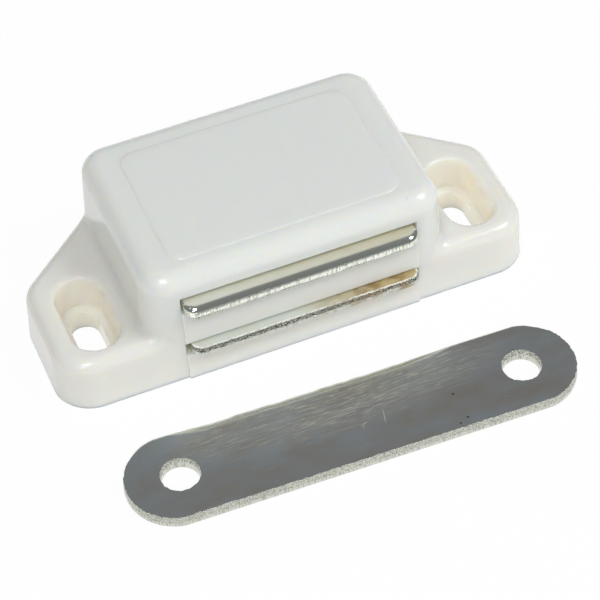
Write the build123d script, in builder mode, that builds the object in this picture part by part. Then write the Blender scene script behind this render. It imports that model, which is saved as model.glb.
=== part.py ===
from build123d import *
from math import asin, atan2, cos, hypot, radians, sin, sqrt, tan
import os

# Magnetic catch: a white moulded housing that holds a ferrite magnet between two steel pole
# plates, and the loose steel striker plate that goes on the door.
# Millimetres. The base lies on z = 0, the mouth looks along -Y, and the origin is the middle of
# the housing's front edge on the base.

# --- housing outline, sizes at the base ---
ear_reach = 10.35            # from the box's side to the end of an ear
ear_height = 6.8
ear_end_depth = 14.9         # front to the sharp corner of an ear's end and its slanted back
ear_front_radius = 4.6
ear_back_radius = 4.3
ear_top_fillet = 1.5
box_length = 37.7
box_depth = 26.0
box_height = 15.55
box_corner_radius = 4.0
box_top_fillet = 2.15
slant_bite = 0.05            # the slanted edge dips this far into the box's rounded corner
draft = 2.75                 # degrees, on every moulded wall

# --- raised field on top ---
field_end_margin = 1.85      # from the end of the top fillet to the field's edge
field_front_margin = 0.55
field_back_margin = 1.2
field_radius = 2.0
field_rise = 0.12

# --- walls of the cavity ---
side_wall = 2.0
back_wall = 2.0
roof = 2.0
mouth_wall = 1.8             # front wall at the base
cavity_radius = 2.0
panel_proud = 0.25           # the mouth panel stands this far out of the front

# --- screw slots in the ears ---
screw_from_end = 5.9         # middle of a screw slot from the end of its ear
screw_slot_width = 3.5
screw_slot_length = 8.2
recess_width = 5.8
recess_length = 11.3
recess_middle = 8.2          # from the front to the middle of the slot
ledge_height = 2.6
recess_rim_fillet = 0.5

# --- magnet pack ---
plate_thickness = 1.5
magnet_thickness = 5.0
pack_floor = 3.9             # underside of the lower plate
pole_projection = 1.0        # tip of the upper plate in front of the base's front edge
pack_shift = 0.3             # the loose pack lies this far to the right of the middle
shoulder_step = 1.8          # the shoulders are wider than the tongue by this on each side
magnet_inset = 0.8           # magnet inside the plates' sides
magnet_rear_inset = 0.6
magnet_chamfer = 0.4
tongue_radius = 1.5
shoulder_crop = 0.8          # the shoulders' corners are cropped
die_roll = 0.4               # rounding of a stamped edge on the punch's side
float_travel = 0.5           # how far the pack can be pushed back

# --- clearances ---
pack_side_gap = 0.5          # each side of the shoulders at the pack's top
slot_end_gap = 0.4           # each end of a tongue in its slot
under_gap = 0.1              # lower plate over the sill of its slot and over the snap nibs
web_gap = 0.1                # upper plate over the web
lower_headroom = 0.25
upper_headroom = 0.7
shoulder_gap = 0.1           # shoulders behind the leaning front wall
magnet_front_gap = 0.4
stop_gap = 0.1               # plates before the stop ribs at the end of their travel
roof_rib_gap = 0.2

# --- ribs and nibs inside ---
roof_rib_width = 1.2
roof_rib_spacing = 18.0
roof_rib_inset = 1.2         # rib ends from the cavity's front and back
stop_rib_width = 1.4
stop_rib_depth = 0.8         # at the top of the pack
stop_rib_spacing = 20.0
nib_length = 6.0
nib_grip = 0.6               # how far a nib reaches under the lower plate
nib_land = 0.4               # flat tip of a nib
nib_height = 1.8
nib_place = 15.0             # middle of the nibs from the front
weld = 0.4                   # how far ribs and nibs run into the wall that carries them
slot_corner_radius = 0.2

slack = 0.01                 # for choosing edges by their place

# --- striker plate ---
striker_length = 53.6
striker_width = 11.66
striker_thickness = 1.5
striker_end_radius = 5.9
striker_hole_spacing = 40.9
striker_hole_diameter = 4.6
striker_die_roll = 0.25      # on the long edges: the ends and holes are square-edged
striker_middle = (-0.2, -14.45)
striker_turn = -1.8          # degrees, as it lies on the bench

# --- worked out from the sizes above ---
lean = tan(radians(draft))
half_length = box_length / 2 + ear_reach
screw_spacing = 2 * (half_length - screw_from_end)
magnet_z = pack_floor + plate_thickness
upper_plate_z = magnet_z + magnet_thickness
pack_top = upper_plate_z + plate_thickness
cavity_length = box_length - 2 * side_wall
cavity_back = box_depth - back_wall
cavity_height = box_height - roof
shoulder_width = cavity_length - 2 * (lean * pack_top + pack_side_gap)
tongue_width = shoulder_width - 2 * shoulder_step
slot_width = tongue_width + 2 * slot_end_gap
shoulder_front = mouth_wall + lean * pack_top + shoulder_gap
tongue_length = shoulder_front + pole_projection
stop_face = cavity_back - lean * pack_top - stop_rib_depth
plate_back = stop_face - stop_gap - float_travel
plate_depth = plate_back + pole_projection
lower_plate_lead = lean * (upper_plate_z - pack_floor)
magnet_front = shoulder_front + magnet_front_gap
magnet_back = plate_back - lower_plate_lead - magnet_rear_inset
magnet_length = shoulder_width - 2 * magnet_inset
slots = {
    "lower": (pack_floor - under_gap, magnet_z + lower_headroom),
    "upper": (upper_plate_z - web_gap, pack_top + upper_headroom),
}

os.makedirs("parts", exist_ok=True)


def on_recess_rim(edge):
    """Tells whether an edge lies on the upper rim of a screw slot's recess."""
    middle = edge.center()
    return (
        abs(middle.Z - ear_height) < slack
        and abs(abs(middle.X) - screw_spacing / 2) < recess_width / 2 + slack
        and abs(middle.Y - recess_middle) < recess_length / 2 + slack
    )


# ---- housing: one moulding, open underneath ----
# each slanted back edge runs from the end of its ear along the tangent of the box's corner
corner = (box_length / 2 - box_corner_radius, box_depth - box_corner_radius)
reach = (half_length - corner[0], corner[1] - ear_end_depth)
slant = atan2(reach[1], reach[0]) + asin((box_corner_radius - slant_bite) / hypot(*reach))
landing = (
    corner[0] + (box_corner_radius - slant_bite) * sin(slant),
    corner[1] + (box_corner_radius - slant_bite) * cos(slant),
)
with BuildPart() as housing:
    # flange with both ears
    with BuildSketch() as flange_outline:
        with BuildLine():
            Polyline(
                (half_length, 0),
                (half_length, ear_end_depth),
                landing,
                (-landing[0], landing[1]),
                (-half_length, ear_end_depth),
                (-half_length, 0),
                close=True,
            )
        make_face()
        for side in (0, -1):
            end_corners = flange_outline.vertices().group_by(Axis.X)[side].sort_by(Axis.Y)
            fillet(end_corners[0], ear_front_radius)
            end_corners = flange_outline.vertices().group_by(Axis.X)[side].sort_by(Axis.Y)
            fillet(end_corners[-1], ear_back_radius)
    extrude(amount=ear_height, taper=draft)
    fillet(housing.edges().group_by(Axis.Z)[-1], ear_top_fillet)

    # box
    with BuildSketch():
        with Locations((0, box_depth / 2)):
            RectangleRounded(box_length, box_depth, box_corner_radius)
    extrude(amount=box_height, taper=draft)
    fillet(housing.edges().group_by(Axis.Z)[-1], box_top_fillet)

    # raised field on the top
    rolled = lean * box_height + box_top_fillet
    field_length = box_length - 2 * (rolled + field_end_margin)
    field_front = rolled + field_front_margin
    field_back = box_depth - rolled - field_back_margin
    with BuildSketch(Plane.XY.offset(box_height)):
        with Locations((0, (field_front + field_back) / 2)):
            RectangleRounded(field_length, field_back - field_front, field_radius)
    extrude(amount=field_rise)

    # panel round the mouth, parallel to the front
    panel_top = slots["upper"][1]
    with BuildSketch(Plane.YZ):
        with BuildLine():
            Polyline(
                (-panel_proud, 0),
                (mouth_wall, 0),
                (mouth_wall, panel_top),
                (lean * panel_top - panel_proud, panel_top),
                close=True,
            )
        make_face()
    extrude(amount=slot_width / 2, both=True)

    # cavity
    with BuildSketch():
        with Locations((0, (mouth_wall + cavity_back) / 2)):
            RectangleRounded(cavity_length, cavity_back - mouth_wall, cavity_radius)
    extrude(amount=cavity_height, taper=draft, mode=Mode.SUBTRACT)

    # slots for the plates through the front wall
    for sill, head in slots.values():
        with BuildSketch(Plane.XZ.offset(-shoulder_front)):
            with Locations((0, (sill + head) / 2)):
                RectangleRounded(slot_width, head - sill, slot_corner_radius)
        extrude(amount=shoulder_front + 2 * panel_proud, mode=Mode.SUBTRACT)

    # ribs under the roof, over the upper plate
    with BuildSketch(Plane.XY.offset(pack_top + roof_rib_gap)):
        rib_front = mouth_wall + lean * cavity_height + roof_rib_inset
        rib_back = cavity_back - lean * cavity_height - roof_rib_inset
        with Locations((0, (rib_front + rib_back) / 2)):
            with GridLocations(roof_rib_spacing, 0, 2, 1):
                Rectangle(roof_rib_width, rib_back - rib_front)
    extrude(amount=cavity_height + weld - pack_top - roof_rib_gap)

    # stop ribs on the back wall
    with BuildSketch():
        with Locations((0, (stop_face + cavity_back + weld) / 2)):
            with GridLocations(stop_rib_spacing, 0, 2, 1):
                Rectangle(stop_rib_width, cavity_back + weld - stop_face)
    extrude(amount=cavity_height)

    # snap nibs on the side walls, under the lower plate
    nib_top = pack_floor - under_gap
    nib_tip = shoulder_width / 2 - nib_grip
    nib_root = cavity_length / 2 + weld
    with BuildSketch(Plane.XZ.offset(-nib_place)) as nib_profile:
        with BuildLine():
            Polyline(
                (nib_root, nib_top),
                (nib_tip, nib_top),
                (nib_tip, nib_top - nib_land),
                (nib_root, nib_top - nib_height),
                close=True,
            )
        make_face()
        mirror(about=Plane.YZ)
    extrude(amount=nib_length / 2, both=True)

    # screw slots with their sunk recesses
    with BuildSketch(Plane.XY.offset(ear_height)):
        with Locations((0, recess_middle)):
            with GridLocations(screw_spacing, 0, 2, 1):
                SlotOverall(recess_length, recess_width, rotation=90)
    extrude(amount=ledge_height - ear_height, taper=draft, mode=Mode.SUBTRACT)
    recess_rims = housing.edges().filter_by(on_recess_rim)
    fillet(recess_rims, recess_rim_fillet)
    with BuildSketch():
        with Locations((0, recess_middle)):
            with GridLocations(screw_spacing, 0, 2, 1):
                SlotOverall(screw_slot_length, screw_slot_width, rotation=90)
    extrude(amount=ledge_height, mode=Mode.SUBTRACT)
housing.part.label = "housing"
export_step(housing.part, "parts/housing.step")

# ---- pole plates: the same stamping twice, punched edges outwards ----
for name, level, tip, punched_side in (
    ("upper_pole_plate", upper_plate_z, -pole_projection, -1),
    ("lower_pole_plate", pack_floor, -pole_projection - lower_plate_lead, 0),
):
    with BuildPart() as plate:
        with BuildSketch(Plane((pack_shift, tip, level))) as stamping:
            with Locations((0, tongue_length / 2)):
                Rectangle(tongue_width, tongue_length)
            with Locations((0, (tongue_length + plate_depth) / 2)):
                Rectangle(shoulder_width, plate_depth - tongue_length)
            corners = stamping.vertices().group_by(Axis.Y)
            fillet(corners[0], tongue_radius)
            shoulders = stamping.vertices().filter_by(
                lambda corner: abs(abs(corner.X) - shoulder_width / 2) < slack
            )
            chamfer(shoulders, shoulder_crop)
        extrude(amount=plate_thickness)
        fillet(plate.edges().group_by(Axis.Z)[punched_side], die_roll)
    plate.part.label = name
    export_step(plate.part, f"parts/{name}.step")

# ---- magnet: a pressed ferrite block between the plates ----
with BuildPart() as magnet:
    with BuildSketch(Plane((pack_shift, (magnet_front + magnet_back) / 2, magnet_z))):
        Rectangle(magnet_length, magnet_back - magnet_front)
    extrude(amount=magnet_thickness)
    chamfer(magnet.edges().filter_by(Axis.Z), magnet_chamfer)
magnet.part.label = "magnet"
export_step(magnet.part, "parts/magnet.step")

# ---- striker plate: stamped strip with rounded ends and two screw holes ----
end_straight = striker_length / 2 - striker_end_radius
end_corner = end_straight + sqrt(striker_end_radius**2 - (striker_width / 2) ** 2)
with BuildPart() as striker_plate:
    turned = Plane(
        (striker_middle[0], striker_middle[1], 0),
        x_dir=(cos(radians(striker_turn)), sin(radians(striker_turn)), 0),
        z_dir=(0, 0, 1),
    )
    with BuildSketch(turned):
        with BuildLine():
            half_width = striker_width / 2
            Line((-end_corner, -half_width), (end_corner, -half_width))
            ThreePointArc((end_corner, -half_width), (striker_length / 2, 0), (end_corner, half_width))
            Line((end_corner, half_width), (-end_corner, half_width))
            ThreePointArc((-end_corner, half_width), (-striker_length / 2, 0), (-end_corner, -half_width))
        make_face()
        with GridLocations(striker_hole_spacing, 0, 2, 1):
            Circle(striker_hole_diameter / 2, mode=Mode.SUBTRACT)
    extrude(amount=striker_thickness)
    # the strip was slit from above along its back edge and from below along its front edge
    lower_face, upper_face = striker_plate.faces().filter_by(Axis.Z).sort_by(Axis.Z)
    slit_below = lower_face.outer_wire().edges().sort_by(Axis.Y)[0]
    slit_above = upper_face.outer_wire().edges().sort_by(Axis.Y)[-1]
    fillet([slit_below, slit_above], striker_die_roll)
striker_plate.part.label = "striker_plate"
export_step(striker_plate.part, "parts/striker_plate.step")
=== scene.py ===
"""Looks of a magnetic cupboard catch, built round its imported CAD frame.

The white housing is meshed from a distance field, so that the soft fillets between the box and
its ears are real shape. The pole plates and the striker plate are lofted stampings with rolled,
sheared and torn edges. Lengths in the classes are millimetres; meshes are made in metres.
"""

import logging
import math
from collections.abc import Callable, Sequence
from dataclasses import dataclass, field
from enum import Enum

import bmesh
import bpy
import numpy as np
from mathutils import Matrix, Vector


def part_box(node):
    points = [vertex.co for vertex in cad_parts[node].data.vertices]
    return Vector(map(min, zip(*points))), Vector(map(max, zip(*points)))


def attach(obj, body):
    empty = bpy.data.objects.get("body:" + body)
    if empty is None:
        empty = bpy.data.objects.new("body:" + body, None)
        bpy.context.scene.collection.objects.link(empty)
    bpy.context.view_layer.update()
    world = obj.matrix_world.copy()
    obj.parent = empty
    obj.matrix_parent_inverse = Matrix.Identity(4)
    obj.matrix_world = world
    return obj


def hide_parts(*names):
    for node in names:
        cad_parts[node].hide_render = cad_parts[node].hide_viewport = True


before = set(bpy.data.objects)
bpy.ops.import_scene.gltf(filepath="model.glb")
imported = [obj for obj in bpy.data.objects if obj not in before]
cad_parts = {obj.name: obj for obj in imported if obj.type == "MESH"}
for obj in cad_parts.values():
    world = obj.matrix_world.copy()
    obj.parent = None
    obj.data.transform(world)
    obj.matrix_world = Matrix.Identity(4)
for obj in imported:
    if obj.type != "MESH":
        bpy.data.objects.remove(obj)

MM = 0.001
DRAFT = math.tan(math.radians(2.75))     # every moulded wall leans by this much
SHARP_ANGLE = math.radians(38)           # an edge that turns by more than this is a crease
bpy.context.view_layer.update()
log = logging.getLogger("catch")

Array = np.ndarray
Solid = Callable[[Array, Array, Array], Array]


# ---------------------------------------------------------------- shared helpers


def linear(hex_code: str) -> tuple[float, float, float, float]:
    """Turns an sRGB hex colour into the linear RGBA that a shader socket takes.

    Args:
        hex_code: Six hex digits, with or without a leading #.

    Returns:
        Linear red, green and blue, and an alpha of 1.
    """
    digits = hex_code.lstrip("#")
    channels = [int(digits[i:i + 2], 16) / 255 for i in (0, 2, 4)]
    red, green, blue = (
        c / 12.92 if c <= 0.04045 else ((c + 0.055) / 1.055) ** 2.4 for c in channels
    )
    return red, green, blue, 1.0


def add_node(
    tree: bpy.types.NodeTree, kind: str, inputs: dict | None = None, **settings: object
) -> bpy.types.Node:
    """Adds one node with its settings, input values and links.

    Args:
        tree: The node tree that the node goes into.
        kind: The node's type name.
        inputs: Socket name or number to a value, or to the output socket that feeds it.
        **settings: The node's own properties.

    Returns:
        The new node.
    """
    node = tree.nodes.new(kind)
    for name, value in settings.items():
        setattr(node, name, value)
    for socket, source in (inputs or {}).items():
        if isinstance(source, bpy.types.NodeSocket):
            tree.links.new(source, node.inputs[socket])
        else:
            node.inputs[socket].default_value = source
    return node


def new_material(name: str) -> tuple[bpy.types.Material, bpy.types.NodeTree, bpy.types.NodeSocket]:
    """Starts a node material.

    Args:
        name: The material's name.

    Returns:
        The material, its emptied tree, and Object coordinates in millimetres.
    """
    material = bpy.data.materials.new(name)
    material.use_nodes = True
    tree = material.node_tree
    tree.nodes.clear()
    place = add_node(tree, "ShaderNodeTexCoord")
    in_mm = add_node(
        tree, "ShaderNodeMapping", {"Vector": place.outputs["Object"], "Scale": (1 / MM,) * 3}
    )
    return material, tree, in_mm.outputs["Vector"]


def finish_material(tree: bpy.types.NodeTree, shader: bpy.types.Node) -> None:
    """Links a shader node to the material's output."""
    add_node(tree, "ShaderNodeOutputMaterial", {"Surface": shader.outputs[0]})


def mesh_object(
    name: str, corners: Array, faces: Sequence, material: bpy.types.Material
) -> bpy.types.Object:
    """Makes a smooth-shaded mesh object with sharp creases.

    Args:
        name: The object's name.
        corners: Points in millimetres, one row each.
        faces: Corner numbers of each face, outwards.
        material: Its material.

    Returns:
        The object, linked to the scene.
    """
    mesh = bpy.data.meshes.new(name)
    mesh.from_pydata((np.asarray(corners) * MM).tolist(), [], faces)
    mesh.validate()
    mesh.materials.append(material)
    mesh.shade_smooth()
    mesh.set_sharp_from_angle(angle=SHARP_ANGLE)
    piece = bpy.data.objects.new(name, mesh)
    bpy.context.scene.collection.objects.link(piece)
    return piece


# ---------------------------------------------------------------- distance fields


def rounded_rectangle(x: Array, y: Array, half_x: float, half_y: float, radius: float) -> Array:
    """Signed distance to a rounded rectangle round the origin.

    Args:
        x: Places along the first axis.
        y: Places along the second axis.
        half_x: Half its size along the first axis.
        half_y: Half its size along the second axis.
        radius: Radius of its corners.

    Returns:
        The distance at each place, below zero inside.
    """
    over_x = np.abs(x) - (half_x - radius)
    over_y = np.abs(y) - (half_y - radius)
    outside = np.hypot(np.maximum(over_x, 0), np.maximum(over_y, 0))
    return outside + np.minimum(np.maximum(over_x, over_y), 0) - radius


def stadium(x: Array, y: Array, length: float, width: float) -> Array:
    """Signed distance to a slot with round ends that lies along y."""
    straight = (length - width) / 2
    return np.hypot(x, np.maximum(np.abs(y) - straight, 0)) - width / 2


def common(a: Array, b: Array, radius: float) -> Array:
    """What two solids share, with the edge between them rounded."""
    over = np.hypot(np.maximum(a + radius, 0), np.maximum(b + radius, 0))
    return np.minimum(np.maximum(a, b), -radius) + over


def joined(a: Array, b: Array, radius: float | Array) -> Array:
    """Two solids together, with the crease between them filled."""
    under = np.hypot(np.maximum(radius - a, 0), np.maximum(radius - b, 0))
    return np.maximum(np.minimum(a, b), radius) - under


def convex_outline(x: Array, y: Array, corners: Sequence[tuple[float, float, float]]) -> Array:
    """Signed distance to a convex outline with rounded corners.

    Args:
        x: Places along X.
        y: Places along Y.
        corners: Anticlockwise (x, y, fillet radius) of each corner.

    Returns:
        The distance, exact near the outline.
    """
    points = [np.array(corner[:2]) for corner in corners]
    normals = []
    for start, end in zip(points, points[1:] + points[:1]):
        along = (end - start) / np.linalg.norm(end - start)
        normals.append(np.array([along[1], -along[0]]))
    planes = [n[0] * (x - p[0]) + n[1] * (y - p[1]) for n, p in zip(normals, points)]
    distance = planes[0]
    for plane in planes[1:]:
        distance = np.maximum(distance, plane)
    for i, (_, _, radius) in enumerate(corners):
        if radius == 0:
            continue
        before, after = normals[i - 1], normals[i]
        middle = points[i] - (before + after) * radius / (1 + before @ after)
        step_x, step_y = x - middle[0], y - middle[1]
        cross = before[0] * after[1] - before[1] * after[0]
        share_before = (step_x * after[1] - step_y * after[0]) / cross
        share_after = (before[0] * step_y - before[1] * step_x) / cross
        in_wedge = (share_before > 0) & (share_after > 0)
        distance = np.where(in_wedge, np.hypot(step_x, step_y) - radius, distance)
    return distance


def graded(*stops: tuple[float, float]) -> Array:
    """Grid lines along one axis, closer together where a thin step needs them.

    Args:
        *stops: (place, spacing from there to the next place) in order.

    Returns:
        The places of the lines.
    """
    lines = [np.array([stops[0][0]])]
    for (start, spacing), (end, _) in zip(stops, stops[1:]):
        lines.append(np.linspace(start, end, max(1, round((end - start) / spacing)) + 1)[1:])
    return np.concatenate(lines)


def skin(solid: Solid, lines: Sequence[Array]) -> tuple[Array, Array]:
    """Meshes the surface of a distance field by dual contouring, which keeps its edges crisp.

    Args:
        solid: Signed distance at x, y and z, below zero inside.
        lines: Grid lines along X, Y and Z that reach past the solid.

    Returns:
        Corners, and four corner numbers for each face.
    """
    halvings = 12                        # each grid line's crossing is found by halving this often
    reach = 1e-4                         # the field's slope is taken over this many millimetres
    calm = 0.03                          # pulls a corner to the middle of its crossings on flat parts
    inside = solid(*np.meshgrid(*lines, indexing="ij", sparse=True)) < 0
    cell_shape = tuple(len(axis) - 1 for axis in lines)
    cells, crossings, normals = [], [], []
    for axis in range(3):
        lower = tuple(slice(None, -1) if i == axis else slice(None) for i in range(3))
        upper = tuple(slice(1, None) if i == axis else slice(None) for i in range(3))
        found = np.argwhere(inside[lower] != inside[upper])
        near = np.stack([lines[i][found[:, i]] for i in range(3)])
        far = near.copy()
        far[axis] = lines[axis][found[:, axis] + 1]
        leaving = inside[tuple(found.T)]
        for _ in range(halvings):
            middle = (near + far) / 2
            same_side = (solid(*middle) < 0) == leaving
            near = np.where(same_side, middle, near)
            far = np.where(same_side, far, middle)
        point = (near + far) / 2
        slope = []
        for i in range(3):
            step = np.zeros((3, 1))
            step[i] = reach
            slope.append(solid(*(point + step)) - solid(*(point - step)))
        slope = np.stack(slope, axis=1)
        normals.append(slope / np.linalg.norm(slope, axis=1, keepdims=True))
        crossings.append(point.T)
        across, up = (axis + 1) % 3, (axis + 2) % 3
        ring = []
        for step_across, step_up in ((0, 0), (-1, 0), (-1, -1), (0, -1)):
            cell = found.copy()
            cell[:, across] += step_across
            cell[:, up] += step_up
            ring.append(np.ravel_multi_index(tuple(cell.T), cell_shape))
        ring = np.stack(ring, axis=1)
        cells.append(np.where(leaving[:, None], ring, ring[:, ::-1]))
    cells, crossings, normals = (np.concatenate(part) for part in (cells, crossings, normals))
    used, faces = np.unique(cells, return_inverse=True)
    faces = faces.reshape(cells.shape)

    # each cell's corner is where the planes of its crossings meet
    count = np.zeros(len(used))
    centre = np.zeros((len(used), 3))
    spread = np.zeros((len(used), 3, 3))
    pull = np.zeros((len(used), 3))
    outer = normals[:, :, None] * normals[:, None, :]
    along = normals * np.sum(normals * crossings, axis=1, keepdims=True)
    for corner in range(4):
        owner = faces[:, corner]
        np.add.at(count, owner, 1)
        np.add.at(centre, owner, crossings)
        np.add.at(spread, owner, outer)
        np.add.at(pull, owner, along)
    centre /= count[:, None]
    pull -= np.einsum("nij,nj->ni", spread, centre)
    corners = centre + np.linalg.solve(spread + calm * np.eye(3), pull[:, :, None])[:, :, 0]
    place = np.stack(np.unravel_index(used, cell_shape), axis=1)
    for i in range(3):
        corners[:, i] = np.clip(corners[:, i], lines[i][place[:, i]], lines[i][place[:, i] + 1])
    return corners, faces


# ---------------------------------------------------------------- finishes


@dataclass(frozen=True)
class MouldedPolyamide:
    """White polyamide from a polished mould: glossy, and light soaks a few millimetres into it."""

    white: str = "#eef0ec"
    # painted light: the warmer white of the low, thick parts
    low_painted_warmth: str = "#f1f0e9"
    # painted light: the paler, warmer white of the sunk faces
    sunk_painted_light: str = "#fff9ed"
    speck: str = "#5c5347"
    ior: float = 1.53
    roughness: float = 0.14
    soak_depth: float = 1.5
    sunk_soak_depth: float = 2.5
    mouth_soak_depth: float = 0.6
    soak_by_colour: tuple[float, float, float] = (1.0, 0.82, 0.6)
    thin_from: float = 14.0
    thick_below: float = 5.0
    speck_strength: float = 0.2
    # each speck in the plastic: x, y, z and radius
    specks: tuple[tuple[float, float, float, float], ...] = (
        (-17.78, 8.91, 14.61, 0.16),
        (13.8, 2.03, 15.37, 0.13),
        (-11.59, -0.02, 7.44, 0.16),
    )

    def material(self) -> bpy.types.Material:
        """Builds the node material.

        Returns:
            The moulded plastic.
        """
        material, tree, place = new_material("moulded_polyamide")
        # painted light: the sunk faces, recesses and slot walls, get a paler, warmer base colour that stands
        # in for light passed through the walls
        sunk = add_node(tree, "ShaderNodeAttribute", attribute_name="sunk").outputs["Fac"]
        soak = add_node(
            tree,
            "ShaderNodeMapRange",
            {"Value": sunk, "To Min": self.soak_depth * MM, "To Max": self.sunk_soak_depth * MM},
        )
        # the wall round the mouth is backed by the plates, which throw the light back out
        mouth = add_node(tree, "ShaderNodeAttribute", attribute_name="mouth").outputs["Fac"]
        soak = add_node(
            tree, "ShaderNodeMix", {"Factor": mouth, 2: soak.outputs[0], 3: self.mouth_soak_depth * MM}
        )
        # painted light: the thick ears and the foot of the box get a warmer white than the thin box top,
        # standing in for the warmer light that comes through thick plastic
        height = add_node(tree, "ShaderNodeSeparateXYZ", {0: place}).outputs[2]
        low = add_node(
            tree,
            "ShaderNodeMapRange",
            {"Value": height, "From Min": self.thin_from, "From Max": self.thick_below},
        )
        outer = add_node(
            tree,
            "ShaderNodeMix",
            {"Factor": low.outputs[0], 6: linear(self.white), 7: linear(self.low_painted_warmth)},
            data_type="RGBA",
        )
        base = add_node(
            tree,
            "ShaderNodeMix",
            {"Factor": sunk, 6: outer.outputs[2], 7: linear(self.sunk_painted_light)},
            data_type="RGBA",
        )
        colour = base.outputs[2]
        for *speck_middle, speck_radius in self.specks:
            gap = add_node(
                tree,
                "ShaderNodeVectorMath",
                {0: place, 1: speck_middle},
                operation="DISTANCE",
            )
            dark = add_node(
                tree,
                "ShaderNodeMapRange",
                {
                    "Value": gap.outputs["Value"],
                    "From Min": speck_radius,
                    "From Max": speck_radius / 2,
                    "To Max": self.speck_strength,
                },
            )
            spotted = add_node(
                tree,
                "ShaderNodeMix",
                {"Factor": dark.outputs[0], 6: colour, 7: linear(self.speck)},
                data_type="RGBA",
            )
            colour = spotted.outputs[2]
        shader = add_node(
            tree,
            "ShaderNodeBsdfPrincipled",
            {
                "Base Color": colour,
                "Roughness": self.roughness,
                "IOR": self.ior,
                "Subsurface Weight": 1.0,
                "Subsurface Radius": self.soak_by_colour,
                "Subsurface Scale": soak.outputs[0],
            },
            subsurface_method="RANDOM_WALK",
        )
        finish_material(tree, shader)
        return material


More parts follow.
